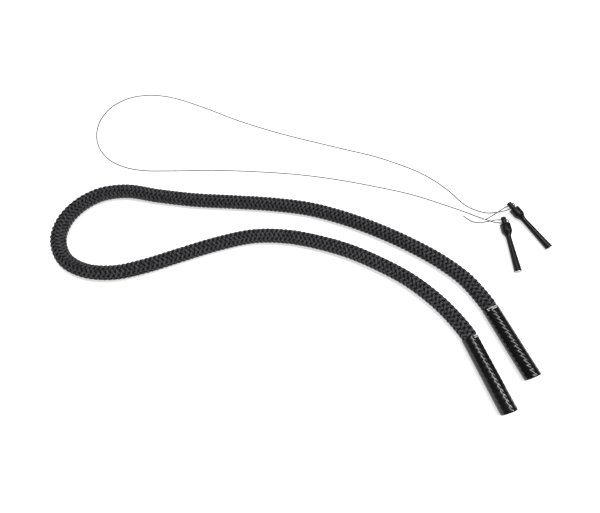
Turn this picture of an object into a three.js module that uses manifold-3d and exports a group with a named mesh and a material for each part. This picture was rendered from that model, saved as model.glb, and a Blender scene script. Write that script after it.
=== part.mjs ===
// Jump-rope set laid on a floor: a heavy braided rope with two shrink-sleeve grips,
// and a speed rope whose thin cable runs between two bearing handles.
// Millimetres, +Z up, the floor at z = 0.
import * as THREE from 'three';
import { mergeVertices } from 'three/addons/utils/BufferGeometryUtils.js';
import Module from 'manifold-3d';

const wasm = await Module();
wasm.setup();
const { Manifold, Mesh } = wasm;

// ---- driving dimensions: heavy rope --------------------------------------------------
const ROPE_R = 19;              // outside of the braided cover
const COVER_BORE_R = 12.4;      // inside of the braided cover
const CORE_R = 11.4;            // filler strands
const ROPE_SIDES = 12;
const CORE_SIDES = 8;
const GRIP_SQUEEZE = 0.93;      // the grips press the rope down to this share of its thickness
const SLEEVE_IN_R = 18;         // heat-shrink grip
const SLEEVE_OUT_R = 18.9;
const CAP_R = 17.6;             // disc that closes each rope end

// The rope's centreline. The first GRIP_SPANS and the last GRIP_SPANS spans are the grips.
const GRIP_SPANS = 3;
const ROPE_ROUTE = [
  [437, -282.75, 19.1],
  [418.3, -229.85, 19.1],
  [399.6, -176.95, 19.1],
  [380.9, -124.05, 19.1],
  [378.2, -116.55, 19.1],
  [347.2, -69.45, 19.1],
  [309.2, -26.45, 19.1],
  [258.2, 17.55, 19.1],
  [198.2, 54.55, 19.1],
  [125.2, 90.55, 19.1],
  [47.2, 116.55, 19.1],
  [-35.8, 133.55, 19.1],
  [-120.8, 134.55, 19.1],
  [-209.8, 113.55, 19.1],
  [-299.8, 82.55, 19.1],
  [-383.8, 52.55, 19.1],
  [-454.8, 35.55, 19.1],
  [-526.8, 40.55, 19.1],
  [-583.8, 70.55, 19.1],
  [-613.8, 124.55, 19.1],
  [-610.8, 178.55, 19.1],
  [-582.8, 225.55, 19.1],
  [-533.8, 259.55, 19.1],
  [-465.8, 270.05, 19.1],
  [-380.8, 255.55, 19.1],
  [-280.8, 242.55, 19.1],
  [-180.8, 236.55, 19.1],
  [-80.8, 229.55, 19.1],
  [18.2, 215.55, 19.1],
  [108.2, 188.55, 19.1],
  [193.7, 152.55, 19.1],
  [273.2, 110.55, 19.1],
  [343.2, 64.55, 19.1],
  [397.2, 15.55, 19.1],
  [438, -47.65, 19.1],
  [441, -55.05, 19.1],
  [462.1, -107.05, 19.1],
  [483.1, -159.15, 19.1],
  [504.2, -211.15, 19.1],
];
const ROPE_END_GAP = 4.3;       // rope stops this far inside each sleeve end
const BAND_LENGTH = 6;          // printed band at each sleeve mouth
const GAP = 0.3;                // between pieces that touch

// ---- driving dimensions: speed rope handle ------------------------------------------
// "u" is the distance along the handle from the front face of its bearing head.
const ROUND_SIDES = 24;
const HEAD_R = 12.6;
const HEAD_REAR_U = 20.8;
const GRIP_END_R = 8.6;
const GRIP_REST_U = 128.9;      // where the grip end touches the floor
const GRIP_END_U = 129.7;
const HANDLE_PROFILE = [
  [0, 12.1], [0.6, HEAD_R], [HEAD_REAR_U, HEAD_R], [22.6, 11.9], [26.4, 10.1], [30.2, 8.3], [34.4, 6.9],
  [38.5, 6.35], [48, 6.5], [65, 6.85], [90, 7.5], [110, 8.05], [GRIP_REST_U, GRIP_END_R], [GRIP_END_U, 8.35],
];
const HANDLE_BORE = [
  [GRIP_END_U, 7.3], [122.6, 7.3], [120.6, 6], [44, 3.4], [33, 3.4], [21.5, 7], [15.3, 7],
  [15.3, 9.9], [2.2, 9.9], [2.2, 11], [0, 11],
];
const PLUG_PROFILE = [
  [123.1, 0], [123.1, 6.6], [123.5, 7], [130, 7], [130, 8.25], [131.1, 8.25], [131.5, 7.9], [131.5, 0],
];
const SPINDLE_PROFILE = [
  [-20.2, 0], [-20.2, 5.6], [-19.5, 6.25], [-2.1, 6.25], [-1.5, 5.7], [-1.5, 4.8], [2.2, 4.8],
  [2.2, 3.5], [15, 3.5], [15, 2.5], [21.2, 2.5], [21.2, 0],
];
const CROSS_HOLE_R = 1.75;
const FRONT_HOLE_U = -13.9;     // the cable comes back out here
const REAR_HOLE_U = -4.2;       // the cable goes in here
const SCREW_HOLE_R = 2.3;
const SCREW_R = 1.95;
const BEARING_STARTS = { front: 2.5, rear: 10.5 };
const BEARING_WIDTH = 4.5;
const OUTER_RACE = [7.75, 9.5];
const INNER_RACE = [3.85, 5.2];
const BALL_R = 0.9;
const BALL_CIRCLE_R = 6.45;
const BALL_COUNT = 6;
const NUT_FLAT_R = 4.5;
const NUT_MIDDLE_U = 18.4;

// Each handle: where its front face is on the floor plan, and which way it points.
const HANDLES = {
  a: { front: [527.15, 172.35], heading: -86.85 },
  b: { front: [560.1, 219.35], heading: -59 },
};

// ---- driving dimensions: cable --------------------------------------------------------
const CABLE_R = 1.3;
const CABLE_SIDES = 8;
const CABLE_ROUTE = [
  [539.2, 215.55, 10.8],
  [529.7, 214.15, 7.8],
  [513.2, 213.25, 4.4],
  [494.2, 213.15, 2.4],
  [469.7, 220.05, 1.7],
  [441.2, 236.55, 1.5],
  [401.2, 284.55, 1.5],
  [363.2, 320.55, 1.5],
  [320.7, 349.55, 1.5],
  [220.7, 395.55, 1.5],
  [112.2, 429.05, 1.5],
  [-64.8, 484.55, 1.5],
  [-191.3, 534.05, 1.5],
  [-279.3, 576.55, 1.5],
  [-374.3, 617.05, 1.5],
  [-425.8, 631.05, 1.5],
  [-478.8, 634.05, 1.5],
  [-531.8, 621.05, 1.5],
  [-575.3, 587.55, 1.5],
  [-599.3, 536.05, 1.5],
  [-599.8, 478.55, 1.5],
  [-580.8, 428.55, 1.5],
  [-543.3, 387.05, 1.5],
  [-495.8, 362.25, 1.5],
  [-442.8, 350.95, 1.5],
  [-370.8, 349.55, 1.5],
  [-250.8, 351.55, 1.5],
  [-120.8, 346.55, 1.5],
  [-0.8, 336.05, 1.5],
  [107.2, 318.55, 1.5],
  [209.7, 295.55, 1.5],
  [299.7, 271.25, 1.5],
  [383.7, 238.75, 1.5],
  [440.2, 214.05, 1.9],
  [471.7, 197.75, 4],
  [489.2, 188.15, 6.7],
  [503.2, 180.35, 9.9],
];
// Where each loose tail goes after it leaves the front hole.
const TAIL_ROUTES = {
  a: [
    [506.2, 185.15, 13.4],
    [495.2, 183.55, 12.2],
    [482.2, 182.15, 9.7],
    [468.2, 181.55, 6.6],
    [454.2, 184.45, 3.9],
    [441.2, 192.55, 2.2],
    [429.2, 204.55, 1.6],
  ],
  b: [
    [537.2, 222.55, 13.2],
    [528.2, 217.55, 11.6],
    [514.2, 208.55, 8.3],
    [500.2, 200.85, 4.9],
    [486.2, 193.55, 1.9],
  ],
};

// ---- helpers ---------------------------------------------------------------------------
const set = new THREE.Group();
set.name = 'jump_rope_set';

function addPiece(name, geometry, colour, metalness = 0, roughness = 0.6) {
  const material = new THREE.MeshStandardMaterial({ color: colour, metalness, roughness });
  const piece = new THREE.Mesh(geometry, material);
  piece.name = name;
  set.add(piece);
}

function welded(geometry) {
  geometry.deleteAttribute('uv');
  geometry.deleteAttribute('normal');
  return mergeVertices(geometry, 1e-4);
}

function circle(radius, sides, PathType = THREE.Shape) {
  const path = new PathType();
  for (let i = 0; i <= sides; i++) {
    const angle = (2 * Math.PI * i) / sides;
    const x = radius * Math.cos(angle);
    const y = radius * Math.sin(angle);
    if (i === 0) path.moveTo(x, y);
    else if (i < sides) path.lineTo(x, y);
  }
  path.closePath();
  return path;
}

// A smooth curve whose steps follow its listed points, so tight bends get short steps.
class RouteCurve extends THREE.CatmullRomCurve3 {
  getUtoTmapping(u) {
    return u;
  }
}

// One stretch of another curve, in the same steps.
class Stretch extends THREE.Curve {
  constructor(whole, from, to) {
    super();
    Object.assign(this, { whole, from, to });
  }

  getPoint(t, target = new THREE.Vector3()) {
    return this.whole.getPoint(this.from + (this.to - this.from) * t, target);
  }

  getUtoTmapping(u) {
    return u;
  }
}

function tube(curve, steps, outerR, sides, innerR = 0) {
  const section = circle(outerR, sides);
  if (innerR > 0) section.holes.push(circle(innerR, sides, THREE.Path));
  return welded(new THREE.ExtrudeGeometry(section, { steps, extrudePath: curve, bevelEnabled: false }));
}

function routeCurve(points) {
  return new RouteCurve(points.map((p) => new THREE.Vector3(...p)));
}

// Turns a list of [u, radius] points about the handle's axis. The list starts and ends on
// the axis, or is closed onto its first point.
function turned(profile, sides = ROUND_SIDES) {
  const points = profile.map(([u, radius]) => new THREE.Vector2(radius, u));
  if (profile[0][1] > 0) points.push(points[0].clone());
  return welded(new THREE.LatheGeometry(points, sides));
}

function ring(fromU, toU, innerR, outerR, sides = ROUND_SIDES) {
  return turned([[fromU, innerR], [fromU, outerR], [toU, outerR], [toU, innerR]], sides);
}

function toSolid(geometry) {
  const merged = welded(geometry.clone());
  const mesh = new Mesh({
    numProp: 3,
    vertProperties: new Float32Array(merged.attributes.position.array),
    triVerts: new Uint32Array(merged.index.array),
  });
  const solid = new Manifold(mesh);
  return solid;
}

function fromSolid(solid) {
  const mesh = solid.getMesh();
  const geometry = new THREE.BufferGeometry();
  geometry.setAttribute('position', new THREE.BufferAttribute(new Float32Array(mesh.vertProperties), 3));
  geometry.setIndex(new THREE.BufferAttribute(new Uint32Array(mesh.triVerts), 1));
  return geometry;
}

// ---- the heavy rope --------------------------------------------------------------------
const ropeCurve = routeCurve(ROPE_ROUTE);
const ROPE_SPANS = ROPE_ROUTE.length - 1;

function lengthBetween(curve, from, to) {
  const samples = 40;
  const last = curve.getPoint(from);
  let total = 0;
  for (let i = 1; i <= samples; i++) {
    const point = curve.getPoint(from + ((to - from) * i) / samples);
    total += point.distanceTo(last);
    last.copy(point);
  }
  return total;
}

// Turns a distance from one end of the rope into a place on the curve.
function ropePlace(distance, fromStart) {
  const span = 1 / ROPE_SPANS;
  const spanLength = fromStart ? lengthBetween(ropeCurve, 0, span) : lengthBetween(ropeCurve, 1 - span, 1);
  const place = (distance / spanLength) * span;
  return fromStart ? place : 1 - place;
}

// Draws a rope piece's rings in towards its centreline where the grips squeeze it.
function squeezeAtGrips(geometry, curve, steps) {
  const centres = Array.from({ length: steps + 1 }, (_, i) => curve.getPoint(i / steps));
  const squeezed = 2 * GRIP_SPANS;
  const position = geometry.attributes.position;
  const point = new THREE.Vector3();
  for (let i = 0; i < position.count; i++) {
    point.fromBufferAttribute(position, i);
    let nearest = 0;
    centres.forEach((centre, k) => {
      if (centre.distanceTo(point) < centres[nearest].distanceTo(point)) nearest = k;
    });
    if (nearest > squeezed && nearest < steps - squeezed) continue;
    point.sub(centres[nearest]).multiplyScalar(GRIP_SQUEEZE).add(centres[nearest]);
    position.setXYZ(i, point.x, point.y, point.z);
  }
  return geometry;
}

function addHeavyRope() {
  const start = ropePlace(ROPE_END_GAP, true);
  const end = ropePlace(ROPE_END_GAP, false);
  const inside = new Stretch(ropeCurve, start, end);
  const steps = 2 * ROPE_SPANS;
  const cover = squeezeAtGrips(tube(inside, steps, ROPE_R, ROPE_SIDES, COVER_BORE_R), inside, steps);
  const core = squeezeAtGrips(tube(inside, steps, CORE_R, CORE_SIDES), inside, steps);
  addPiece('rope_cover', cover, 0x2b2b2d, 0, 0.9);
  addPiece('rope_core', core, 0x3a3a3a, 0, 0.9);
}

function addGrip(side, fromStart) {
  const grip = GRIP_SPANS / ROPE_SPANS;
  const mouth = fromStart ? grip : 1 - grip;
  const tip = fromStart ? 0 : 1;
  const inward = fromStart ? -1 : 1;
  const perMm = Math.abs(ropePlace(1, fromStart) - tip);
  const bandInner = mouth + inward * BAND_LENGTH * perMm;
  const sleeveStart = bandInner + inward * GAP * perMm;
  const capInner = tip - inward * (ROPE_END_GAP - GAP) * perMm;
  const capOuter = tip - inward * 0.6 * perMm;
  const band = new Stretch(ropeCurve, mouth, bandInner);
  const sleeve = new Stretch(ropeCurve, sleeveStart, tip);
  const cap = new Stretch(ropeCurve, capInner, capOuter);
  addPiece(`print_band_${side}`, tube(band, 1, SLEEVE_OUT_R, ROPE_SIDES, SLEEVE_IN_R), 0xd8d8d8, 0, 0.5);
  addPiece(`shrink_sleeve_${side}`, tube(sleeve, 2 * GRIP_SPANS, SLEEVE_OUT_R, ROPE_SIDES, SLEEVE_IN_R), 0x111113, 0, 0.25);
  addPiece(`end_cap_${side}`, tube(cap, 1, CAP_R, ROPE_SIDES), 0x151515, 0, 0.7);
}

// ---- one speed-rope handle -------------------------------------------------------------
// The handle rests on the rim of its head and on its grip end, so its axis slopes a little.
const SLOPE = Math.asin((HEAD_R - GRIP_END_R) / (GRIP_REST_U - HEAD_REAR_U));

function handleFrame({ front, heading }) {
  const turn = THREE.MathUtils.degToRad(heading);
  const along = new THREE.Vector3(
    Math.cos(turn) * Math.cos(SLOPE),
    Math.sin(turn) * Math.cos(SLOPE),
    -Math.sin(SLOPE),
  );
  const side = new THREE.Vector3(Math.sin(turn), -Math.cos(turn), 0);
  const third = new THREE.Vector3().crossVectors(side, along);
  const height = HEAD_R * Math.cos(SLOPE) + HEAD_REAR_U * Math.sin(SLOPE);
  const frame = new THREE.Matrix4().makeBasis(side, along, third);
  frame.setPosition(front[0], front[1], height);
  return frame;
}

// A ball bearing: two races and a cage that carries the balls.
function addBearing(tag, frame, start, place) {
  const end = start + BEARING_WIDTH;
  const middle = start + BEARING_WIDTH / 2;
  addPiece(`outer_race_${place}_${tag}`, ring(start, end, ...OUTER_RACE).applyMatrix4(frame), 0xb9bcc0, 0.9, 0.25);
  addPiece(`inner_race_${place}_${tag}`, ring(start, end, ...INNER_RACE).applyMatrix4(frame), 0xb9bcc0, 0.9, 0.25);
  let cage = toSolid(ring(middle - 0.7, middle + 0.7, 6.1, 6.8, 18));
  for (let i = 0; i < BALL_COUNT; i++) {
    const angle = (2 * Math.PI * i) / BALL_COUNT;
    const ball = new THREE.IcosahedronGeometry(BALL_R, 1);
    ball.translate(BALL_CIRCLE_R * Math.cos(angle), middle, BALL_CIRCLE_R * Math.sin(angle));
    cage = cage.add(toSolid(ball));
  }
  addPiece(`ball_cage_${place}_${tag}`, fromSolid(cage).applyMatrix4(frame), 0xb08d4c, 0.8, 0.35);
}

function spindleGeometry() {
  const crossHole = (u) => {
    const hole = new THREE.CylinderGeometry(CROSS_HOLE_R, CROSS_HOLE_R, 20, 16);
    hole.rotateZ(Math.PI / 2);
    hole.translate(0, u, 0);
    return toSolid(hole);
  };
  const screwHole = new THREE.CylinderGeometry(SCREW_HOLE_R, SCREW_HOLE_R, 8, 16);
  screwHole.translate(0, FRONT_HOLE_U - 4, 0);
  const solid = toSolid(turned(SPINDLE_PROFILE))
    .subtract(crossHole(FRONT_HOLE_U))
    .subtract(crossHole(REAR_HOLE_U))
    .subtract(toSolid(screwHole));
  return fromSolid(solid);
}

// The grub screw that pinches the cable, with a hexagon socket in its outer end.
function clampScrewGeometry() {
  const outer = -19.8;
  const inner = FRONT_HOLE_U - CABLE_R - 0.35;
  const socket = new THREE.CylinderGeometry(1.15, 1.15, 3, 6);
  socket.translate(0, outer + 0.3, 0);
  const body = turned([[outer, 0], [outer, SCREW_R], [inner, SCREW_R], [inner, 0]], 16);
  return fromSolid(toSolid(body).subtract(toSolid(socket)));
}

function lockNutGeometry() {
  const cornerR = NUT_FLAT_R / Math.cos(Math.PI / 6);
  const nut = new THREE.CylinderGeometry(cornerR, cornerR, 4, 6);
  nut.translate(0, NUT_MIDDLE_U, 0);
  const bore = new THREE.CylinderGeometry(2.85, 2.85, 8, ROUND_SIDES);
  bore.translate(0, NUT_MIDDLE_U, 0);
  return fromSolid(toSolid(nut).subtract(toSolid(bore)));
}

function addHandle(tag) {
  const frame = handleFrame(HANDLES[tag]);
  const put = (name, geometry, colour, metalness, roughness) => {
    addPiece(`${name}_${tag}`, geometry.applyMatrix4(frame), colour, metalness, roughness);
  };
  put('handle_body', turned([...HANDLE_PROFILE, ...HANDLE_BORE]), 0x17171a, 0.5, 0.4);
  put('head_cover', ring(0.25, 1.9, 5.4, 10.55), 0x1d1d20, 0, 0.5);
  put('outer_spacer', ring(7.3, 10.2, ...OUTER_RACE), 0x9fa3a8, 0.8, 0.4);
  put('end_plug', turned(PLUG_PROFILE), 0xb8b8ba, 0.8, 0.35);
  put('spindle', spindleGeometry(), 0x1a1a1c, 0.5, 0.4);
  put('clamp_screw', clampScrewGeometry(), 0x6d6f73, 0.9, 0.35);
  put('inner_spacer', ring(7.3, 10.2, 3.85, 4.9), 0x9fa3a8, 0.8, 0.4);
  put('washer', ring(15.3, 16.1, 2.85, 5.8), 0xa6a9ad, 0.9, 0.35);
  put('lock_nut', lockNutGeometry(), 0x8c8f93, 0.9, 0.35);
  for (const [place, start] of Object.entries(BEARING_STARTS)) addBearing(tag, frame, start, place);
  return frame;
}

// ---- the cable ---------------------------------------------------------------------------
// Points given along the handle (u) and out to its left side become places on the floor plan.
function atHandle(frame, u, left) {
  const point = new THREE.Vector3(left, u, 0).applyMatrix4(frame);
  return [point.x, point.y, point.z];
}

// The tail starts half way through the rear hole, loops round the spindle's far side and
// comes back out of the front hole.
function tailStart(frame) {
  const bend = (FRONT_HOLE_U - REAR_HOLE_U) / 2;
  const middle = REAR_HOLE_U + bend;
  const points = [atHandle(frame, REAR_HOLE_U, -GAP / 2), atHandle(frame, REAR_HOLE_U, -5)];
  for (const degrees of [0, 45, 90, 135, 180]) {
    const angle = THREE.MathUtils.degToRad(degrees);
    points.push(atHandle(frame, middle - bend * Math.cos(angle), -6.4 + bend * Math.sin(angle)));
  }
  points.push(atHandle(frame, FRONT_HOLE_U, -5), atHandle(frame, FRONT_HOLE_U, 5), atHandle(frame, FRONT_HOLE_U, 9));
  return points;
}

function addCable(frames) {
  const main = [
    atHandle(frames.b, REAR_HOLE_U, GAP / 2),
    atHandle(frames.b, REAR_HOLE_U, 8),
    ...CABLE_ROUTE,
    atHandle(frames.a, REAR_HOLE_U, 8),
    atHandle(frames.a, REAR_HOLE_U, GAP / 2),
  ];
  const mainSteps = 2 * (main.length - 1);
  addPiece('cable', tube(routeCurve(main), mainSteps, CABLE_R, CABLE_SIDES), 0x8d9094, 0.3, 0.4);
  for (const tag of Object.keys(frames)) {
    const tail = [...tailStart(frames[tag]), ...TAIL_ROUTES[tag]];
    const steps = 2 * (tail.length - 1);
    addPiece(`cable_tail_${tag}`, tube(routeCurve(tail), steps, CABLE_R, CABLE_SIDES), 0x8d9094, 0.3, 0.4);
  }
}

addHeavyRope();
addGrip('left', true);
addGrip('right', false);
const frames = { a: addHandle('a'), b: addHandle('b') };
addCable(frames);

export default set;
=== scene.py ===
# Jump-rope set on a pale floor: a heavy braided rope with shrink-sleeve grips, and a cable speed rope
# with two bearing handles. Metres, in the CAD model's frame.
import math

import bmesh
import bpy
import numpy as np
from mathutils import Matrix, Vector


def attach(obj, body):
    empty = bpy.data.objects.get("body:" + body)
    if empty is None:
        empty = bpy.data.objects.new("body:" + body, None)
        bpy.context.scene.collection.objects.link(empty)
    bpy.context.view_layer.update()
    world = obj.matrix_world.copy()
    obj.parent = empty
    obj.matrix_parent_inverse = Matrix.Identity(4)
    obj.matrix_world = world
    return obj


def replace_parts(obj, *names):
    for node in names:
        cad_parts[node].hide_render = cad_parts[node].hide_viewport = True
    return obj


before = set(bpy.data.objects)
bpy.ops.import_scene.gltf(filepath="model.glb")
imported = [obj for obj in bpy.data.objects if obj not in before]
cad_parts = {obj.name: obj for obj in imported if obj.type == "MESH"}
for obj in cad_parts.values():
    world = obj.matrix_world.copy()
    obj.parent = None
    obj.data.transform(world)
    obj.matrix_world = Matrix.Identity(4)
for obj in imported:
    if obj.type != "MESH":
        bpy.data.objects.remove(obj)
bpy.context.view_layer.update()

ROOT = "ropes_and_spindles"
MM = 0.001

# ---- heavy rope ------------------------------------------------------------------------
ROPE_RADIUS = 0.019
GRIP_SPANS = 3                     # how many spans of the route each grip covers
ROPE_POINTS_PER_SPAN = 24
ROPE_END_GAP = 0.0043              # the rope stops this far inside each grip's end
# The rope's centreline, from the left grip's end round to the right grip's end.
ROPE_ROUTE = [
    (0.437, -0.28275, 0.0191),
    (0.4183, -0.22985, 0.0191),
    (0.3996, -0.17695, 0.0191),
    (0.3809, -0.12405, 0.0191),
    (0.3782, -0.11655, 0.0191),
    (0.3472, -0.06945, 0.0191),
    (0.3092, -0.02645, 0.0191),
    (0.2582, 0.01755, 0.0191),
    (0.1982, 0.05455, 0.0191),
    (0.1252, 0.09055, 0.0191),
    (0.0472, 0.11655, 0.0191),
    (-0.0358, 0.13355, 0.0191),
    (-0.1208, 0.13455, 0.0191),
    (-0.2098, 0.11355, 0.0191),
    (-0.2998, 0.08255, 0.0191),
    (-0.3838, 0.05255, 0.0191),
    (-0.4548, 0.03555, 0.0191),
    (-0.5268, 0.04055, 0.0191),
    (-0.5838, 0.07055, 0.0191),
    (-0.6138, 0.12455, 0.0191),
    (-0.6108, 0.17855, 0.0191),
    (-0.5828, 0.22555, 0.0191),
    (-0.5338, 0.25955, 0.0191),
    (-0.4658, 0.27005, 0.0191),
    (-0.3808, 0.25555, 0.0191),
    (-0.2808, 0.24255, 0.0191),
    (-0.1808, 0.23655, 0.0191),
    (-0.0808, 0.22955, 0.0191),
    (0.0182, 0.21555, 0.0191),
    (0.1082, 0.18855, 0.0191),
    (0.1937, 0.15255, 0.0191),
    (0.2732, 0.11055, 0.0191),
    (0.3432, 0.06455, 0.0191),
    (0.3972, 0.01555, 0.0191),
    (0.438, -0.04765, 0.0191),
    (0.441, -0.05505, 0.0191),
    (0.4621, -0.10705, 0.0191),
    (0.4831, -0.15915, 0.0191),
    (0.5042, -0.21115, 0.0191),
]

# ---- speed rope ------------------------------------------------------------------------
# Distances along a handle are measured from the front face of its head. The spindle's tip and its
# two cross-holes are in front of that face, so theirs are below 0.
HEAD_RADIUS = 0.0126
HEAD_REAR = 0.0208
GRIP_END_RADIUS = 0.0086
GRIP_END = 0.1289                  # where the grip end touches the floor
FRONT_HOLE = -0.0139               # the cable comes back out here
REAR_HOLE = -0.0042                # the cable goes in here
CABLE_RADIUS = 0.0013
CABLE_SIDES = 12
CABLE_POINTS_PER_SPAN = 12
TAIL_POINTS_PER_SPAN = 10
BUTT_GAP = 0.0003                  # between two pieces that meet face to face
# Each handle: where the middle of its front face is on the floor plan, and its heading in degrees.
HANDLES = {
    "a": ((0.52715, 0.17235), -86.85),
    "b": ((0.5601, 0.21935), -59),
}
# The cable from handle b's spindle round the loop to handle a's spindle.
CABLE_ROUTE = [
    (0.5392, 0.21555, 0.0108),
    (0.5297, 0.21415, 0.0078),
    (0.5132, 0.21325, 0.0044),
    (0.4942, 0.21315, 0.0024),
    (0.4697, 0.22005, 0.0017),
    (0.4412, 0.23655, 0.0015),
    (0.4012, 0.28455, 0.0015),
    (0.3632, 0.32055, 0.0015),
    (0.3207, 0.34955, 0.0015),
    (0.2207, 0.39555, 0.0015),
    (0.1122, 0.42905, 0.0015),
    (-0.0648, 0.48455, 0.0015),
    (-0.1913, 0.53405, 0.0015),
    (-0.2793, 0.57655, 0.0015),
    (-0.3743, 0.61705, 0.0015),
    (-0.4258, 0.63105, 0.0015),
    (-0.4788, 0.63405, 0.0015),
    (-0.5318, 0.62105, 0.0015),
    (-0.5753, 0.58755, 0.0015),
    (-0.5993, 0.53605, 0.0015),
    (-0.5998, 0.47855, 0.0015),
    (-0.5808, 0.42855, 0.0015),
    (-0.5433, 0.38705, 0.0015),
    (-0.4958, 0.36225, 0.0015),
    (-0.4428, 0.35095, 0.0015),
    (-0.3708, 0.34955, 0.0015),
    (-0.2508, 0.35155, 0.0015),
    (-0.1208, 0.34655, 0.0015),
    (-0.0008, 0.33605, 0.0015),
    (0.1072, 0.31855, 0.0015),
    (0.2097, 0.29555, 0.0015),
    (0.2997, 0.27125, 0.0015),
    (0.3837, 0.23875, 0.0015),
    (0.4402, 0.21405, 0.0019),
    (0.4717, 0.19775, 0.004),
    (0.4892, 0.18815, 0.0067),
    (0.5032, 0.18035, 0.0099),
]
# Where each loose tail goes after it leaves the front hole.
TAIL_ROUTES = {
    "a": [
        (0.5062, 0.18515, 0.0134),
        (0.4952, 0.18355, 0.0122),
        (0.4822, 0.18215, 0.0097),
        (0.4682, 0.18155, 0.0066),
        (0.4542, 0.18445, 0.0039),
        (0.4412, 0.19255, 0.0022),
        (0.4292, 0.20455, 0.0016),
    ],
    "b": [
        (0.5372, 0.22255, 0.0132),
        (0.5282, 0.21755, 0.0116),
        (0.5142, 0.20855, 0.0083),
        (0.5002, 0.20085, 0.0049),
        (0.4862, 0.19355, 0.0019),
    ],
}

# ---- the camera: wide, about 0.92 m up ---------------------------------------------------
CAMERA_PLACE = (-0.00345, -0.33285, 0.921)
CAMERA_LOOKS_DOWN = 65.5           # degrees below level
camera_data = bpy.data.cameras.new("camera")
camera_data.lens = 24
camera_data.sensor_width = 36
camera_data.sensor_fit = "HORIZONTAL"
camera = bpy.data.objects.new("camera", camera_data)
bpy.context.scene.collection.objects.link(camera)
camera.location = CAMERA_PLACE
camera.rotation_euler = (math.radians(90 - CAMERA_LOOKS_DOWN), 0, 0)
bpy.context.scene.camera = camera
bpy.context.scene.view_settings.view_transform = "Standard"


# ---- curves ----------------------------------------------------------------------------
def span_points(before, start, end, after, count):
    """Centripetal Catmull-Rom from start to end, without end itself."""
    def gap(p, q):
        return max(np.sum((p - q) ** 2) ** 0.25, 1e-6)

    d0, d1, d2 = gap(before, start), gap(start, end), gap(end, after)
    leave = ((start - before) / d0 - (end - before) / (d0 + d1) + (end - start) / d1) * d1
    arrive = ((end - start) / d1 - (after - start) / (d1 + d2) + (after - end) / d2) * d1
    found = []
    for w in np.arange(count) / count:
        square = w * w
        cube = square * w
        found.append(
            start
            + leave * w
            + (3 * (end - start) - 2 * leave - arrive) * square
            + (2 * (start - end) + leave + arrive) * cube
        )
    return found


def smooth_route(route, per_span):
    """The smooth curve through a route's points, with per_span points to each of its spans."""
    p = [np.array(q, float) for q in route]
    p = [2 * p[0] - p[1], *p, 2 * p[-1] - p[-2]]
    found = []
    for i in range(1, len(p) - 2):
        found += span_points(p[i - 1], p[i], p[i + 1], p[i + 2], per_span)
    found.append(p[-2])
    return np.array(found)


class Line:
    """A centreline measured by distance, with an across direction (level) and an up direction."""

    def __init__(self, points):
        steps = np.linalg.norm(np.diff(points, axis=0), axis=1)
        self.at = np.concatenate([[0], np.cumsum(steps)])
        self.points = points
        self.length = self.at[-1]
        along = np.gradient(points, self.at, axis=0)
        self.along = along / np.linalg.norm(along, axis=1)[:, None]

    def place(self, distance):
        distance = np.clip(distance, 0, self.length)
        point = np.stack([np.interp(distance, self.at, self.points[:, k]) for k in range(3)], -1)
        along = np.stack([np.interp(distance, self.at, self.along[:, k]) for k in range(3)], -1)
        along /= np.linalg.norm(along, axis=-1)[..., None]
        across = np.cross(along, [0, 0, 1.0])
        across /= np.linalg.norm(across, axis=-1)[..., None]
        up = np.cross(across, along)
        return point, along, across, up

    def shell(self, distance, angle, radius):
        """Points at an angle round the line; 0 is level to the right, a quarter turn is up."""
        point, _, across, up = self.place(distance)
        out = across * np.cos(angle)[..., None] + up * np.sin(angle)[..., None]
        return point + out * np.asarray(radius)[..., None]


# ---- mesh building ---------------------------------------------------------------------
def new_object(name, mesh, material, body):
    """An object that rides on a body of the frame and has one material."""
    obj = bpy.data.objects.new(name, mesh)
    bpy.context.scene.collection.objects.link(obj)
    mesh.materials.append(material)
    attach(obj, body)
    return obj


def grid_faces(rows, columns, first=0):
    """Quads of a tube of rows rings with columns points each. The last two faces are its end caps."""
    faces = []
    for i in range(rows - 1):
        for j in range(columns):
            k = (j + 1) % columns
            a, b = first + i * columns, first + (i + 1) * columns
            faces.append((a + j, a + k, b + k, b + j))
    faces.append(tuple(first + j for j in reversed(range(columns))))
    faces.append(tuple(first + (rows - 1) * columns + j for j in range(columns)))
    return faces


def mesh_from(name, points, faces, sharp_degrees):
    """A smooth-shaded mesh whose edges are sharp where they turn more than sharp_degrees."""
    mesh = bpy.data.meshes.new(name)
    mesh.from_pydata([tuple(p) for p in points], [], faces)
    mesh.update()
    tidy = bmesh.new()
    tidy.from_mesh(mesh)
    bmesh.ops.recalc_face_normals(tidy, faces=tidy.faces)
    tidy.to_mesh(mesh)
    tidy.free()
    mesh.polygons.foreach_set("use_smooth", [True] * len(mesh.polygons))
    mesh.set_sharp_from_angle(angle=math.radians(sharp_degrees))
    return mesh


def add_uv(mesh, u, v):
    """A UV map in metres along (u) and in turns round (v), from one value for each vertex."""
    layer = mesh.uv_layers.new(name="strand")
    loop_vertex = np.zeros(len(mesh.loops), int)
    mesh.loops.foreach_get("vertex_index", loop_vertex)
    uu = np.asarray(u)[loop_vertex]
    vv = np.asarray(v)[loop_vertex]
    half_turn = 0.5
    for polygon in mesh.polygons:
        span = slice(polygon.loop_start, polygon.loop_start + polygon.loop_total)
        part = vv[span]
        if part.max() - part.min() > half_turn:
            vv[span] = np.where(part < half_turn, part + 1, part)
    layer.data.foreach_set("uv", np.stack([uu, vv], 1).ravel())


# ---- materials -------------------------------------------------------------------------
# Texture scales are per metre, but per turn round a piece in the second direction of a UV map.
# Bump depths are in metres, and colours are linear.
NOISE_LOW = 0.3                    # most noise lies between these two values
NOISE_HIGH = 0.7
NOISE_ROUGHNESS = 0.55
# The braid's crown mask. Outside it, each strand's sides and underside are painted near-black as shade
# in the braid's grooves.
CROWN_START = 0.06                 # where round a strand its outward side starts, peaks and ends,
CROWN_PEAK = 0.22                  # in turns
CROWN_END = 0.38
METAL_GRAIN = 900


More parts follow.
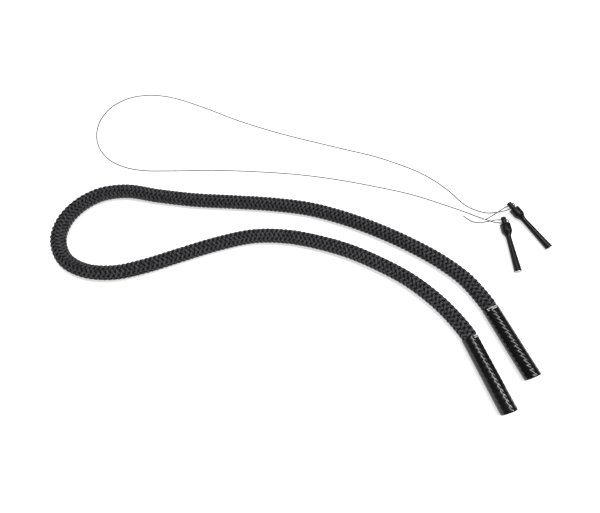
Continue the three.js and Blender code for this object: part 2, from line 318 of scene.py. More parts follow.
class Nodes:
    """A short way to write a node material round one Principled shader."""

    def __init__(self, name, colour, roughness, metallic=0.0):
        self.material = bpy.data.materials.new(name)
        self.material.use_nodes = True
        self.tree = self.material.node_tree
        self.shader = self.tree.nodes["Principled BSDF"]
        self.set("Base Color", (*colour, 1))
        self.set("Roughness", roughness)
        self.set("Metallic", metallic)
        self.height = None

    def set(self, socket, value):
        self.shader.inputs[socket].default_value = value

    def node(self, kind, **values):
        made = self.tree.nodes.new(kind)
        for key, value in values.items():
            if key in made.inputs:
                made.inputs[key].default_value = value
            else:
                setattr(made, key, value)
        return made

    def link(self, source, target):
        self.tree.links.new(source, target)

    def place(self, scale=(1, 1, 1), uv=False):
        """Texture coordinates times scale: the object's own, or metres along and turns round it."""
        if uv:
            source = self.node("ShaderNodeUVMap", uv_map="strand").outputs["UV"]
        else:
            source = self.node("ShaderNodeTexCoord").outputs["Object"]
        mapping = self.node("ShaderNodeMapping")
        mapping.inputs["Scale"].default_value = scale
        self.link(source, mapping.inputs["Vector"])
        return mapping.outputs["Vector"]

    def noise(self, where, scale, detail):
        made = self.node("ShaderNodeTexNoise")
        made.inputs["Scale"].default_value = scale
        made.inputs["Detail"].default_value = detail
        made.inputs["Roughness"].default_value = NOISE_ROUGHNESS
        self.link(where, made.inputs["Vector"])
        return made.outputs["Fac"]

    def wave(self, where, distortion, direction="X"):
        made = self.node("ShaderNodeTexWave")
        made.bands_direction = direction
        made.inputs["Scale"].default_value = 1.0
        made.inputs["Distortion"].default_value = distortion
        made.inputs["Detail"].default_value = 2.0
        made.inputs["Detail Scale"].default_value = 1.5
        self.link(where, made.inputs["Vector"])
        return made.outputs["Fac"]

    def spread(self, source, low, high, socket):
        """Maps noise onto a range, into one of the shader's sockets."""
        made = self.node("ShaderNodeMapRange")
        made.inputs["From Min"].default_value = NOISE_LOW
        made.inputs["From Max"].default_value = NOISE_HIGH
        made.inputs["To Min"].default_value = low
        made.inputs["To Max"].default_value = high
        self.link(source, made.inputs["Value"])
        self.link(made.outputs["Result"], self.shader.inputs[socket])

    def ramp(self, source, dark, light, start=NOISE_LOW, end=NOISE_HIGH):
        """The colour output of a ramp from dark to light."""
        made = self.node("ShaderNodeValToRGB")
        made.color_ramp.elements[0].position = start
        made.color_ramp.elements[0].color = (*dark, 1)
        made.color_ramp.elements[1].position = end
        made.color_ramp.elements[1].color = (*light, 1)
        self.link(source, made.inputs["Fac"])
        return made.outputs["Color"]

    def blend(self, source, dark, light, start=NOISE_LOW, end=NOISE_HIGH):
        """Mottled base colour, from dark to light."""
        self.link(self.ramp(source, dark, light, start, end), self.shader.inputs["Base Color"])

    def crown_tone_and_groove_shade(self, source, groove_shade, low, high):
        """Strand colour: near-black painted shade at its sides and underside, where the braid's grooves
        lie, and between low and high along its outward crown.
        """
        tone = self.ramp(source, low, high)
        split = self.node("ShaderNodeSeparateXYZ")
        self.link(self.place(uv=True), split.inputs["Vector"])
        crown = self.node("ShaderNodeValToRGB")
        crown.color_ramp.interpolation = "EASE"
        crown.color_ramp.elements[0].position = CROWN_START
        crown.color_ramp.elements[0].color = (0, 0, 0, 1)
        crown.color_ramp.elements[1].position = CROWN_END
        crown.color_ramp.elements[1].color = (0, 0, 0, 1)
        peak = crown.color_ramp.elements.new(CROWN_PEAK)
        peak.color = (1, 1, 1, 1)
        self.link(split.outputs["Y"], crown.inputs["Fac"])
        # Painted shade: where the crown mask falls to 0, the strand takes the near-black shade colour
        # instead of its tone.
        mix = self.node("ShaderNodeMix", data_type="RGBA")
        self.link(crown.outputs["Color"], mix.inputs["Factor"])
        mix.inputs["A"].default_value = (*groove_shade, 1)
        self.link(tone, mix.inputs["B"])
        self.link(mix.outputs["Result"], self.shader.inputs["Base Color"])

    def bump(self, source, depth, strength=1.0):
        """Adds a bump of that depth in metres on top of any earlier one."""
        made = self.node("ShaderNodeBump")
        made.inputs["Distance"].default_value = depth
        made.inputs["Strength"].default_value = strength
        self.link(source, made.inputs["Height"])
        if self.height is not None:
            self.link(self.height, made.inputs["Normal"])
        self.height = made.outputs["Normal"]
        self.link(self.height, self.shader.inputs["Normal"])


def braid_material():
    m = Nodes("braid_black", (0.03, 0.03, 0.032), 0.62)
    m.set("Specular IOR Level", 0.2)
    m.set("Sheen Weight", 0.04)
    m.set("Sheen Roughness", 0.4)
    m.set("Sheen Tint", (0.85, 0.83, 0.9, 1))
    where = m.place(uv=True)
    m.bump(m.wave(m.place(scale=(120, 14, 1), uv=True), 1.2, "DIAGONAL"), 0.00025, 0.8)
    m.bump(m.noise(where, 1400, 2), 0.0001, 0.6)
    # The first colour is painted shade for each strand's sides and underside in the braid's grooves.
    # The other two are the yarn's mottled tone.
    groove_shade, low, high = (0.0008, 0.0008, 0.0009), (0.034, 0.032, 0.035), (0.12, 0.115, 0.125)
    m.crown_tone_and_groove_shade(m.noise(m.place(), 120, 5), groove_shade, low, high)
    m.spread(m.noise(where, 300, 3), 0.5, 0.75, "Roughness")
    return m.material


def filler_material():
    m = Nodes("filler_yarn", (0.1, 0.1, 0.1), 0.9)
    where = m.place()
    m.bump(m.noise(where, 900, 4), 0.0004)
    m.blend(m.noise(where, 300, 4), (0.05, 0.05, 0.05), (0.16, 0.16, 0.16))
    return m.material


def shrink_material():
    m = Nodes("shrink_film", (0.006, 0.006, 0.007), 0.2)
    m.set("Specular IOR Level", 0.42)
    where = m.place()
    m.bump(m.noise(where, 700, 3), 0.00006, 0.5)
    m.bump(m.noise(where, 120, 2), 0.00015, 0.4)
    m.blend(m.noise(where, 40, 4), (0.003, 0.003, 0.0035), (0.008, 0.0078, 0.009))
    m.spread(m.noise(where, 160, 4), 0.15, 0.28, "Roughness")
    return m.material


def print_material():
    m = Nodes("print_white", (0.8, 0.8, 0.8), 0.5)
    where = m.place()
    m.bump(m.noise(where, 2500, 3), 0.00003, 0.6)
    m.blend(m.noise(where, 900, 4), (0.6, 0.6, 0.6), (0.85, 0.85, 0.85))
    return m.material


def rubber_material():
    m = Nodes("rubber_black", (0.02, 0.02, 0.02), 0.75)
    where = m.place()
    m.bump(m.noise(where, 1500, 4), 0.00008, 0.7)
    m.blend(m.noise(where, 120, 4), (0.014, 0.014, 0.014), (0.03, 0.03, 0.03))
    m.spread(m.noise(where, 250, 3), 0.6, 0.85, "Roughness")
    return m.material


def cable_material():
    m = Nodes("cable_coat", (0.06, 0.062, 0.065), 0.4)
    twist = m.wave(m.place(scale=(90, 6, 1), uv=True), 0.0, "DIAGONAL")
    m.bump(twist, 0.0001, 0.8)
    m.blend(twist, (0.035, 0.037, 0.04), (0.1, 0.103, 0.107), 0.1, 0.9)
    m.spread(m.noise(m.place(), 400, 3), 0.28, 0.45, "Roughness")
    return m.material


def anodised_material():
    m = Nodes("anodised_black", (0.005, 0.005, 0.006), 0.3)
    m.set("Specular IOR Level", 0.28)
    rings = m.wave(m.place(scale=(900, 0.4, 1), uv=True), 0.6)
    m.bump(rings, 0.00001, 0.5)
    where = m.place()
    m.bump(m.noise(where, 1800, 2), 0.00001, 0.5)
    m.blend(m.noise(where, 60, 5), (0.0035, 0.0035, 0.004), (0.008, 0.008, 0.009))
    m.spread(m.noise(where, 220, 4), 0.26, 0.42, "Roughness")
    return m.material


def nylon_material():
    m = Nodes("nylon_black", (0.018, 0.018, 0.019), 0.55)
    where = m.place()
    m.bump(m.noise(where, 2200, 3), 0.00003, 0.7)
    m.spread(m.noise(where, 300, 4), 0.45, 0.65, "Roughness")
    m.blend(m.noise(where, 90, 4), (0.013, 0.013, 0.014), (0.024, 0.024, 0.026))
    return m.material


def oxide_material():
    m = Nodes("black_oxide", (0.006, 0.006, 0.007), 0.4)
    m.set("Specular IOR Level", 0.3)
    rings = m.wave(m.place(scale=(1400, 0.3, 1), uv=True), 0.5)
    m.bump(rings, 0.00001, 0.5)
    where = m.place()
    m.blend(m.noise(where, 150, 5), (0.004, 0.004, 0.0045), (0.014, 0.014, 0.015))
    m.spread(m.noise(where, 400, 4), 0.3, 0.5, "Roughness")
    return m.material


def metal_material(name, dark, light, low, high):
    """Bare metal between two colours and two roughnesses."""
    m = Nodes(name, light, (low + high) / 2, 1.0)
    where = m.place()
    m.bump(m.noise(where, METAL_GRAIN * 2, 3), 0.00001, 0.6)
    m.blend(m.noise(where, METAL_GRAIN / 4, 4), dark, light)
    m.spread(m.noise(where, METAL_GRAIN / 2, 4), low, high, "Roughness")
    return m.material


def plug_material():
    m = Nodes("satin_plug", (0.6, 0.6, 0.61), 0.35, 0.9)
    rings = m.wave(m.place(scale=(1500, 0.3, 1), uv=True), 0.4)
    m.bump(rings, 0.00001, 0.6)
    where = m.place()
    m.blend(m.noise(where, 200, 4), (0.36, 0.36, 0.37), (0.5, 0.5, 0.51))
    m.spread(m.noise(where, 350, 4), 0.28, 0.45, "Roughness")
    return m.material


def floor_material():
    m = Nodes("floor_white", (0.93, 0.93, 0.93), 0.7)
    m.set("Emission Color", (1, 1, 1, 1))
    m.set("Emission Strength", 0.62)
    m.set("Specular IOR Level", 0.1)
    where = m.place()
    m.spread(m.noise(where, 30, 3), 0.65, 0.8, "Roughness")
    return m.material


BRAID = braid_material()
FILLER = filler_material()
SHRINK = shrink_material()
PRINT = print_material()
RUBBER = rubber_material()
CABLE = cable_material()
ANODISED = anodised_material()
NYLON = nylon_material()
OXIDE = oxide_material()
PLUG = plug_material()
STEEL = metal_material("turned_steel", (0.35, 0.35, 0.36), (0.55, 0.55, 0.56), 0.25, 0.45)
RACE = metal_material("bearing_steel", (0.6, 0.6, 0.62), (0.75, 0.75, 0.77), 0.1, 0.22)
BRASS = metal_material("cage_brass", (0.45, 0.3, 0.12), (0.65, 0.47, 0.2), 0.2, 0.4)
ALLOY = metal_material("spacer_alloy", (0.5, 0.5, 0.52), (0.68, 0.68, 0.7), 0.3, 0.45)

# ---- the braid -------------------------------------------------------------------------
STRANDS_EACH_WAY = 5
STRAND_STEP = 0.01125              # between neighbouring strands, along the rope
LAY_LENGTH = STRANDS_EACH_WAY * STRAND_STEP
STRAND_HALF_WIDTH = 0.0049
STRAND_THICK_OVER = 0.0034         # half the thickness of a strand on top, and underneath
STRAND_THICK_UNDER = 0.002
OVER_RADIUS = ROPE_RADIUS - STRAND_THICK_OVER
UNDER_RADIUS = 0.0132
STRAND_SLANT = math.atan(2 * math.pi * OVER_RADIUS / LAY_LENGTH)
CROSSING_SHARPNESS = 1.4           # how quickly a strand dives between over and under
GRIP_SQUEEZE = 0.1                 # how much thinner the rope is inside its grips
SQUEEZE_LENGTH = 0.005             # the rope thins over this length,
SQUEEZE_LEAD = 1.2                 # starting this many of those lengths outside a grip's mouth
STRAND_SAMPLE = 0.00195            # along the rope, between the rings of a strand
STRAND_SIDES = 7

rope_line = Line(smooth_route(ROPE_ROUTE, ROPE_POINTS_PER_SPAN))
grip_start_left = rope_line.at[GRIP_SPANS * ROPE_POINTS_PER_SPAN]
grip_start_right = rope_line.at[-1 - GRIP_SPANS * ROPE_POINTS_PER_SPAN]


def over_share(angle, way):
    """1 where a strand lies on top of the others, -1 where it is underneath."""
    wave = way * np.cos(STRANDS_EACH_WAY * angle)
    return np.tanh(CROSSING_SHARPNESS * wave) / np.tanh(CROSSING_SHARPNESS)


def inside_grips(distance):
    """How far a place on the rope is inside the nearer grip; less than 0 outside them."""
    return np.maximum(grip_start_left - distance, distance - grip_start_right)


def squeezed(distance):
    """The share of its full thickness that the rope has, which is less inside the grips."""
    share = np.clip(SQUEEZE_LEAD + inside_grips(distance) / SQUEEZE_LENGTH, 0, 1)
    return 1 - GRIP_SQUEEZE * share * share * (3 - 2 * share)


def strand_mesh(way, index, first_point):
    """One strand, a flattened tube that passes over and under the others: points, faces, u and v."""
    start, end = ROPE_END_GAP, rope_line.length - ROPE_END_GAP
    count = int((end - start) / STRAND_SAMPLE) + 1
    distance = np.linspace(start, end, count)
    angle = way * 2 * math.pi * distance / LAY_LENGTH + 2 * math.pi * index / STRANDS_EACH_WAY
    over = (1 + over_share(angle, way)) / 2
    radius = UNDER_RADIUS + (OVER_RADIUS - UNDER_RADIUS) * over
    half_thick = (STRAND_THICK_UNDER + (STRAND_THICK_OVER - STRAND_THICK_UNDER) * over)[:, None]
    centre = rope_line.shell(distance, angle, radius * squeezed(distance))
    _, _, across, up = rope_line.place(distance)
    out = across * np.cos(angle)[:, None] + up * np.sin(angle)[:, None]
    along = np.gradient(centre, axis=0)
    along /= np.linalg.norm(along, axis=1)[:, None]
    side = np.cross(along, out)
    side /= np.linalg.norm(side, axis=1)[:, None]
    outward = np.cross(side, along)
    points = []
    for corner in range(STRAND_SIDES):
        turn = 2 * math.pi * (corner + 0.25) / STRAND_SIDES
        points.append(
            centre
            + side * (STRAND_HALF_WIDTH * math.cos(turn))
            + outward * (half_thick * math.sin(turn))
        )
    points = np.stack(points, 1).reshape(-1, 3)
    u = np.repeat(distance / math.cos(STRAND_SLANT), STRAND_SIDES)
    v = np.tile(np.arange(STRAND_SIDES) / STRAND_SIDES, count)
    return points, grid_faces(count, STRAND_SIDES, first_point), u, v


def make_braid():
    """All strands of the heavy rope's cover in one object."""
    points, faces, u, v = [], [], [], []
    for way in (1, -1):
        for index in range(STRANDS_EACH_WAY):
            p, f, pu, pv = strand_mesh(way, index, sum(len(q) for q in points))
            points.append(p)
            faces += f
            u.append(pu)
            v.append(pv)
    mesh = mesh_from("heavy_rope_braid", np.concatenate(points), faces, 80)
    add_uv(mesh, np.concatenate(u), np.concatenate(v))
    braid = new_object("heavy_rope_braid", mesh, BRAID, ROOT)
    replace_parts(braid, "rope_cover")


# ---- the cable -------------------------------------------------------------------------
# A handle rests on the rim of its head and on its grip end, so its axis slopes a little.
HANDLE_SLOPE = math.asin((HEAD_RADIUS - GRIP_END_RADIUS) / (GRIP_END - HEAD_REAR))
# Where the cable goes straight through a spindle, as distances out from the spindle's axis.
HOLE_REACH = 0.005                 # a point of the tail near either end of a cross-hole
BEND_REACH = 0.0064                # the centre of the turn that the tail makes between the holes
TAIL_REACH = 0.009                 # the tail's last straight point, past the front hole
ENTRY_REACH = 0.008                # the loop's last straight point, outside the rear hole


def handle_axes(tag):
    """Where a handle's front face is, and its directions to the left, along it and square to both."""
    (x, y), heading = HANDLES[tag]
    turn = math.radians(heading)
    along = Vector((
        math.cos(turn) * math.cos(HANDLE_SLOPE),
        math.sin(turn) * math.cos(HANDLE_SLOPE),
        -math.sin(HANDLE_SLOPE),
    ))
    left = Vector((math.sin(turn), -math.cos(turn), 0))
    third = left.cross(along)
    height = HEAD_RADIUS * math.cos(HANDLE_SLOPE) + HEAD_REAR * math.sin(HANDLE_SLOPE)
    return Vector((x, y, height)), left, along, third


def at_handle(tag, along_distance, left_distance):
    """A place level with a handle's axis, by distances along it and out to its left."""
    front, left, along, _ = handle_axes(tag)
    return tuple(front + along * along_distance + left * left_distance)


def tail_start(tag):
    """From half way through the rear hole, round the spindle's far side, out of the front hole."""
    bend = (REAR_HOLE - FRONT_HOLE) / 2
    middle = REAR_HOLE - bend
    points = [at_handle(tag, REAR_HOLE, -BUTT_GAP / 2), at_handle(tag, REAR_HOLE, -HOLE_REACH)]
    for degrees in (0, 45, 90, 135, 180):
        turn = math.radians(degrees)
        out = -BEND_REACH - bend * math.sin(turn)
        points.append(at_handle(tag, middle + bend * math.cos(turn), out))
    for left in (-HOLE_REACH, HOLE_REACH, TAIL_REACH):
        points.append(at_handle(tag, FRONT_HOLE, left))
    return points


def cable_tube(name, route, per_span):
    """A length of cable along a route, and its centreline."""
    points = smooth_route(route, per_span)
    line = Line(points)
    across = np.cross(line.along, [0, 0, 1.0])
    across /= np.linalg.norm(across, axis=1)[:, None]
    up = np.cross(across, line.along)
    turns = 2 * math.pi * np.arange(CABLE_SIDES) / CABLE_SIDES
    rings = (
        points[:, None, :]
        + CABLE_RADIUS * np.cos(turns)[None, :, None] * across[:, None, :]
        + CABLE_RADIUS * np.sin(turns)[None, :, None] * up[:, None, :]
    )
    mesh = mesh_from(name, rings.reshape(-1, 3), grid_faces(len(points), CABLE_SIDES), 60)
    round_the_cable = np.tile(np.arange(CABLE_SIDES) / CABLE_SIDES, len(points))
    add_uv(mesh, np.repeat(line.at, CABLE_SIDES), round_the_cable)
    return new_object(name, mesh, CABLE, ROOT), line


def make_cable():
    main = [
        at_handle("b", REAR_HOLE, BUTT_GAP / 2),
        at_handle("b", REAR_HOLE, ENTRY_REACH),
        *CABLE_ROUTE,
        at_handle("a", REAR_HOLE, ENTRY_REACH),
        at_handle("a", REAR_HOLE, BUTT_GAP / 2),
    ]
    cable, line = cable_tube("speed_cable", main, CABLE_POINTS_PER_SPAN)
    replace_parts(cable, "cable")


def make_tails():
    for tag in HANDLES:
        route = [*tail_start(tag), *TAIL_ROUTES[tag]]
        tail, line = cable_tube(f"speed_cable_tail_{tag}", route, TAIL_POINTS_PER_SPAN)
        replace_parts(tail, f"cable_tail_{tag}")


make_braid()
make_cable()
make_tails()


# ---- the shrink-sleeve grips -----------------------------------------------------------
SLEEVE_RADIUS = 0.0189
SLEEVE_WALL = 0.0006
SLEEVE_SIDES = 96
SLEEVE_STEP = 0.0013
BAND_LENGTH = 0.006                # the printed band at each grip's mouth
RELIEF = 0.0006                    # how deep the film sinks into the braid's grooves
SMOOTH_LENGTH = 0.008              # the relief grows to that depth over this length from the mouth
MOUTH_RELIEF = 0.1                 # the share of it that is there at the mouth
END_ROUNDING = 0.0007              # how far the film draws in at the rope's end,
END_ROUNDING_LENGTH = 0.002        # over this length


def relief(distance, angle):
    """How far the braid stands up under the film, from 0 in its grooves to 1."""
    best = np.zeros(np.broadcast(distance, angle).shape)
    for way in (1, -1):
        off = distance - way * angle * LAY_LENGTH / (2 * math.pi)
        off = (off + STRAND_STEP / 2) % STRAND_STEP - STRAND_STEP / 2
        across = np.clip(np.abs(off * math.sin(STRAND_SLANT)) / STRAND_HALF_WIDTH, 0, 1)
        crown = np.sqrt(1 - across**2) ** 1.5
        best = np.maximum(best, crown * np.clip(0.5 + 0.7 * over_share(angle, way), 0, 1))
    return best


def film_radius(distance, angle):
    """The film's outer radius, following the braid except near the mouth where it is pressed flat."""
    share = np.clip(inside_grips(distance) / SMOOTH_LENGTH, MOUTH_RELIEF, 1)
    return SLEEVE_RADIUS - RELIEF * share * (1 - relief(distance, angle))


def film_tube(name, start, end, node, rounded_end=False):
    """A thin film tube drawn down over the braid, with its inner wall and both rims."""
    count = max(4, int(abs(end - start) / SLEEVE_STEP) + 1)
    distance = np.linspace(start, end, count)[:, None]
    angle = (2 * math.pi * np.arange(SLEEVE_SIDES) / SLEEVE_SIDES)[None, :]
    outer = film_radius(distance, angle)
    if rounded_end:
        from_end = np.abs(distance - end)
        outer = outer - END_ROUNDING * np.clip(1 - from_end / END_ROUNDING_LENGTH, 0, 1) ** 2
    inner = outer - SLEEVE_WALL
    spread_distance = np.broadcast_to(distance, outer.shape)
    spread_angle = np.broadcast_to(angle, outer.shape)
    shells = [rope_line.shell(spread_distance, spread_angle, r).reshape(-1, 3) for r in (outer, inner)]
    size = count * SLEEVE_SIDES
    faces = grid_faces(count, SLEEVE_SIDES)[:-2] + grid_faces(count, SLEEVE_SIDES, size)[:-2]
    for j in range(SLEEVE_SIDES):
        k = (j + 1) % SLEEVE_SIDES
        last = size - SLEEVE_SIDES
        faces.append((j, k, size + k, size + j))
        faces.append((last + j, last + k, size + last + k, size + last + j))
    mesh = mesh_from(name, np.concatenate(shells), faces, 60)
    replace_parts(new_object(name, mesh, SHRINK, ROOT), node)


# Plain printed blocks round each mouth: rows in millimetres from it, blocks in degrees round it.
PRINT_ROWS = ((0.3, 2.1), (3.8, 5.6))
PRINT_BLOCKS = ((0, 14), (16, 36), (38, 47), (50, 74), (76, 90), (93, 99), (101, 124))
PRINT_LIFT = 0.0001                # how far the print stands up from the film and sinks into it
DEGREES_PER_COLUMN = 3
PRINT_START_LEFT = -41             # where the first block starts on each grip, in degrees
PRINT_START_RIGHT = 38


def block_faces(base, columns):
    """A block's faces. Its points come in four rows: both edges underneath, then both on top."""
    low, low_far, top, top_far = (base + k * columns for k in range(4))
    faces = []
    for j in range(columns - 1):
        faces.append((low + j, low + j + 1, low_far + j + 1, low_far + j))
        faces.append((top + j, top + j + 1, top_far + j + 1, top_far + j))
        faces.append((low + j, low + j + 1, top + j + 1, top + j))
        faces.append((low_far + j, low_far + j + 1, top_far + j + 1, top_far + j))
    for j in (0, columns - 1):
        faces.append((low + j, low_far + j, top_far + j, top + j))
    return faces


def make_print(side, mouth, inward, first_angle):
    """Two rows of blocks that follow the film; the second row lacks every third block."""
    points, faces = [], []
    for row, edges in enumerate(PRINT_ROWS):
        for number, (block_start, block_end) in enumerate(PRINT_BLOCKS):
            if row == 1 and number % 3 == 1:
                continue
            columns = max(3, int((block_end - block_start) / DEGREES_PER_COLUMN))
            turns = np.radians(first_angle + np.linspace(block_start, block_end, columns))
            faces += block_faces(len(points), columns)
            for lift in (-PRINT_LIFT, PRINT_LIFT):
                for edge in edges:
                    at = np.full(columns, mouth + inward * edge * MM)
                    points.extend(rope_line.shell(at, turns, film_radius(at, turns) + lift))
    mesh = mesh_from(f"print_blocks_{side}", points, faces, 30)
    new_object(f"print_blocks_{side}", mesh, PRINT, ROOT)


def make_grip(side, mouth, inward, end, print_angle):
    """One grip: the band at its mouth, the long sleeve and the print."""
    band_end = mouth + inward * BAND_LENGTH
    sleeve_start = band_end + inward * BUTT_GAP
    film_tube(f"grip_band_{side}", mouth, band_end, f"print_band_{side}")
    sleeve, node = f"grip_sleeve_{side}", f"shrink_sleeve_{side}"
    film_tube(sleeve, sleeve_start, end, node, rounded_end=True)
    make_print(side, mouth, inward, print_angle)


make_grip("left", grip_start_left, -1, 0.0, PRINT_START_LEFT)
make_grip("right", grip_start_right, 1, rope_line.length, PRINT_START_RIGHT)


# ---- the bearing handles ---------------------------------------------------------------
LATHE_SIDES = 72
SCREW_SIDES = 36
HOLE_SIDES = 32
LATHE_SHARP = 35                   # degrees
DRILLED_SHARP = 32
CROSS_HOLE_RADIUS = 0.00175
CROSS_CUT_LENGTH = 0.02
SCREW_HOLE_RADIUS = 0.0023
SCREW_HOLE_DEPTH = 0.008           # in front of the front cross-hole's middle
SOCKET_MIDDLE = -0.0195            # the hexagon socket in the clamp screw
SOCKET_RADIUS = 0.00115
SOCKET_DEPTH = 0.003
# Outlines are (distance along the handle, radius) in millimetres.
HANDLE_GRIP = [
    (0.0, 12.0), (0.2, 12.35), (0.6, 12.6), (20.2, 12.6), (20.8, 12.53), (21.6, 12.3), (22.6, 11.9),
    (24.4, 11.1), (26.4, 10.1), (28.3, 9.2), (30.2, 8.3), (32.2, 7.55), (34.4, 6.9), (36.4, 6.5),
    (38.5, 6.35), (43, 6.4), (48, 6.5), (56, 6.65), (65, 6.85), (77, 7.15), (90, 7.5), (100, 7.78),
    (110, 8.05), (120, 8.33), (128, 8.57), (129, 8.6), (129.5, 8.5), (129.7, 8.3),
]
HANDLE_BORE = [
    (129.7, 7.3), (122.6, 7.3), (120.6, 6), (44, 3.4), (33, 3.4), (21.5, 7), (15.3, 7),
    (15.3, 9.9), (2.2, 9.9), (2.2, 11), (0.2, 11), (0, 11.15),
]
COVER_PROFILE = [
    (0.45, 5.4), (0.25, 5.6), (0.25, 6.4), (0.6, 6.7), (0.6, 7.2), (0.25, 7.5), (0.25, 10.1),
    (0.5, 10.45), (0.8, 10.55), (1.9, 10.55), (1.9, 5.4),
]
PLUG_OUTLINE = [
    (123.1, 0), (123.1, 6.5), (123.5, 7), (130, 7), (130, 8.1), (130.15, 8.25), (130.9, 8.25),
    (131.35, 8.05), (131.5, 7.7), (131.5, 0),
]
SPINDLE_OUTLINE = [
    (-20.2, 0), (-20.2, 5.5), (-19.95, 5.95), (-19.5, 6.2), (-19, 6.25), (-2.4, 6.25), (-1.8, 6.1),
    (-1.5, 5.7), (-1.5, 4.8), (2.2, 4.8), (2.2, 3.5), (15, 3.5), (15, 2.5), (20.8, 2.5), (21.2, 2.1),
    (21.2, 0),
]
SCREW_OUTLINE = [(-19.8, 0), (-19.8, 1.7), (-19.55, 1.95), (-15.75, 1.95), (-15.55, 1.75), (-15.55, 0)]


def turned(name, tag, outline, closed, sides=LATHE_SIDES):
    """A piece turned about a handle's axis. Its outline ends on the axis, or closes onto its start."""
    front, left, along, third = handle_axes(tag)
    points, faces, u, v, rings = [], [], [], [], []
    travelled, last = 0.0, outline[0]
    for distance, radius in outline:
        travelled += math.hypot(distance - last[0], radius - last[1]) * MM
        last = (distance, radius)
        count = sides if radius > 0 else 1
        rings.append((len(points), count))
        for j in range(count):
            turn = 2 * math.pi * j / sides
            out = left * math.cos(turn) + third * math.sin(turn)
            points.append(front + along * (distance * MM) + out * (radius * MM))
            u.append(travelled)
            v.append(j / sides)
    pairs = list(zip(rings, rings[1:]))
    if closed:
        pairs.append((rings[-1], rings[0]))
    for (a, a_count), (b, b_count) in pairs:
        for j in range(sides):
            k = (j + 1) % sides
            corners = []
            for corner in (
                a + (j if a_count > 1 else 0),
                a + (k if a_count > 1 else 0),
                b + (k if b_count > 1 else 0),
                b + (j if b_count > 1 else 0),
            ):
                if corner not in corners:
                    corners.append(corner)
            faces.append(tuple(corners))
    mesh = mesh_from(name, points, faces, LATHE_SHARP)
    add_uv(mesh, u, v)
    return mesh


def cutter(tag, centre_along, direction, radius, length, sides):
    """A rod to cut a hole with, across or along a handle's spindle."""
    front, left, along, _ = handle_axes(tag)
    axis = {"across": left, "along": along}[direction]
    other = {"across": along, "along": left}[direction]
    basis = Matrix((other, axis.cross(other), axis)).transposed().to_4x4()
    basis.translation = front + along * centre_along
    mesh = bpy.data.meshes.new("cutter")
    shape = bmesh.new()
    bmesh.ops.create_cone(
        shape, cap_ends=True, segments=sides, radius1=radius, radius2=radius, depth=length, matrix=basis
    )
    shape.to_mesh(mesh)
    shape.free()
    rod = bpy.data.objects.new("cutter", mesh)
    bpy.context.scene.collection.objects.link(rod)
    return rod


def drilled(name, mesh, rods):
    """The mesh with each rod cut out of it; the rods are removed."""
    body = bpy.data.objects.new(name, mesh)
    bpy.context.scene.collection.objects.link(body)
    for rod in rods:
        cut = body.modifiers.new("cut", "BOOLEAN")
        cut.operation = "DIFFERENCE"
        cut.solver = "EXACT"
        cut.object = rod
    bpy.context.view_layer.update()
    depsgraph = bpy.context.evaluated_depsgraph_get()
    result = bpy.data.meshes.new_from_object(body.evaluated_get(depsgraph))
    result.name = name
    bpy.data.objects.remove(body)
    for rod in rods:
        bpy.data.objects.remove(rod)
    result.polygons.foreach_set("use_smooth", [True] * len(result.polygons))
    result.set_sharp_from_angle(angle=math.radians(DRILLED_SHARP))
    result.materials.clear()
    return result


def make_turned_pieces(tag):
    """The pieces that turn with the handle: its tube, the head's cover and the end plug."""
    pieces = [
        ("grip_tube", HANDLE_GRIP + HANDLE_BORE, True, ANODISED, "handle_black", "handle_body"),
        ("bearing_cover", COVER_PROFILE, True, NYLON, "cover_black", "head_cover"),
        ("butt_plug", PLUG_OUTLINE, False, PLUG, "plug_alloy", "end_plug"),
    ]
    for name, outline, closed, material, slot, node in pieces:
        mesh = turned(f"{name}_{tag}", tag, outline, closed)
        made = new_object(f"{name}_{tag}", mesh, material, f"handle_{tag}")
        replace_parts(made, f"{node}_{tag}")


def make_spindle(tag):
    """The spindle, with two cross-holes for the cable and a hole for the clamp screw in its tip."""
    name = f"swivel_spindle_{tag}"
    mesh = turned("spindle", tag, SPINDLE_OUTLINE, False)
    screw_hole_middle = FRONT_HOLE - SCREW_HOLE_DEPTH / 2
    rods = [
        cutter(tag, FRONT_HOLE, "across", CROSS_HOLE_RADIUS, CROSS_CUT_LENGTH, HOLE_SIDES),
        cutter(tag, REAR_HOLE, "across", CROSS_HOLE_RADIUS, CROSS_CUT_LENGTH, HOLE_SIDES),
        cutter(tag, screw_hole_middle, "along", SCREW_HOLE_RADIUS, SCREW_HOLE_DEPTH, HOLE_SIDES),
    ]
    made = new_object(name, drilled(name, mesh, rods), OXIDE, ROOT)
    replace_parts(made, f"spindle_{tag}")


def make_clamp_screw(tag):
    """The grub screw that pinches the cable, with a hexagon socket in its outer end."""
    name = f"grub_screw_{tag}"
    mesh = turned("screw", tag, SCREW_OUTLINE, False, SCREW_SIDES)
    socket = cutter(tag, SOCKET_MIDDLE, "along", SOCKET_RADIUS, SOCKET_DEPTH, 6)
    made = new_object(name, drilled(name, mesh, [socket]), STEEL, ROOT)
    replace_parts(made, f"clamp_screw_{tag}")


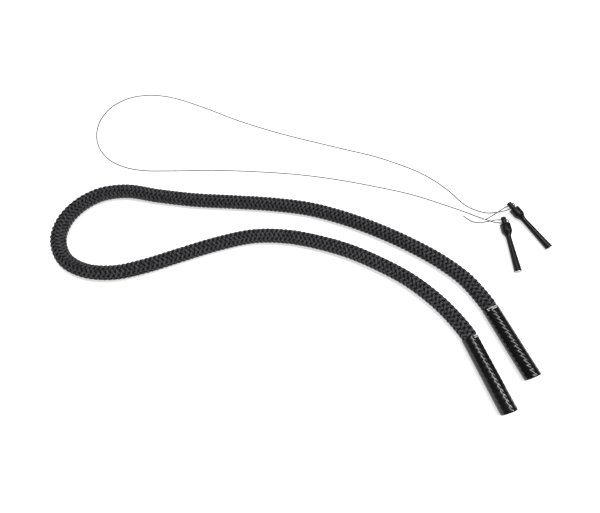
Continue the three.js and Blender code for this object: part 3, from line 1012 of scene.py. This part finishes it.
for handle_tag in HANDLES:
    make_turned_pieces(handle_tag)
    make_spindle(handle_tag)
    make_clamp_screw(handle_tag)

# ---- finishes for the CAD pieces that stay ----------------------------------------------
CAD_FINISHES = {
    "rope_core": FILLER,
    "end_cap": RUBBER,
    "inner_race": RACE,
    "outer_race": RACE,
    "ball_cage": BRASS,
    "inner_spacer": ALLOY,
    "outer_spacer": ALLOY,
    "washer": STEEL,
    "lock_nut": STEEL,
}
for node_name, node_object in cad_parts.items():
    for start, finish in CAD_FINISHES.items():
        if node_name.startswith(start):
            node_object.data.materials.clear()
            node_object.data.materials.append(finish)

# ---- floor and light ---------------------------------------------------------------------
FLOOR_HALF = 6.0
FLOOR_DROP = 0.0002                # keeps the floor clear of what lies on it
WORLD_STRENGTH = 0.12


def make_floor():
    corners = [(-1, -1), (1, -1), (1, 1), (-1, 1)]
    mesh = bpy.data.meshes.new("floor")
    mesh.from_pydata([(x * FLOOR_HALF, y * FLOOR_HALF, 0) for x, y in corners], [], [(0, 1, 2, 3)])
    floor = bpy.data.objects.new("floor", mesh)
    floor.location.z = -FLOOR_DROP
    bpy.context.scene.collection.objects.link(floor)
    mesh.materials.append(floor_material())


def area_light(name, place, target, size, watts, colour=(1, 1, 1)):
    """A rectangular lamp that looks from one place to another."""
    data = bpy.data.lights.new(name, "AREA")
    data.shape = "RECTANGLE"
    data.size, data.size_y = size
    data.energy = watts
    data.color = colour
    lamp = bpy.data.objects.new(name, data)
    bpy.context.scene.collection.objects.link(lamp)
    lamp.location = place
    lamp.rotation_euler = (Vector(target) - Vector(place)).to_track_quat("-Z", "Y").to_euler()


def make_world():
    world = bpy.data.worlds.new("studio")
    world.use_nodes = True
    background = world.node_tree.nodes["Background"]
    background.inputs["Color"].default_value = (1, 1, 1, 1)
    background.inputs["Strength"].default_value = WORLD_STRENGTH
    bpy.context.scene.world = world


make_floor()
area_light("key", (0.85, -0.1, 2.3), (0.45, 0.05, 0), (0.26, 2.2), 42, (1, 0.98, 1))
area_light("fill", (-0.5, 0.9, 2.4), (0, 0.1, 0), (2.2, 1.4), 20)
make_world()
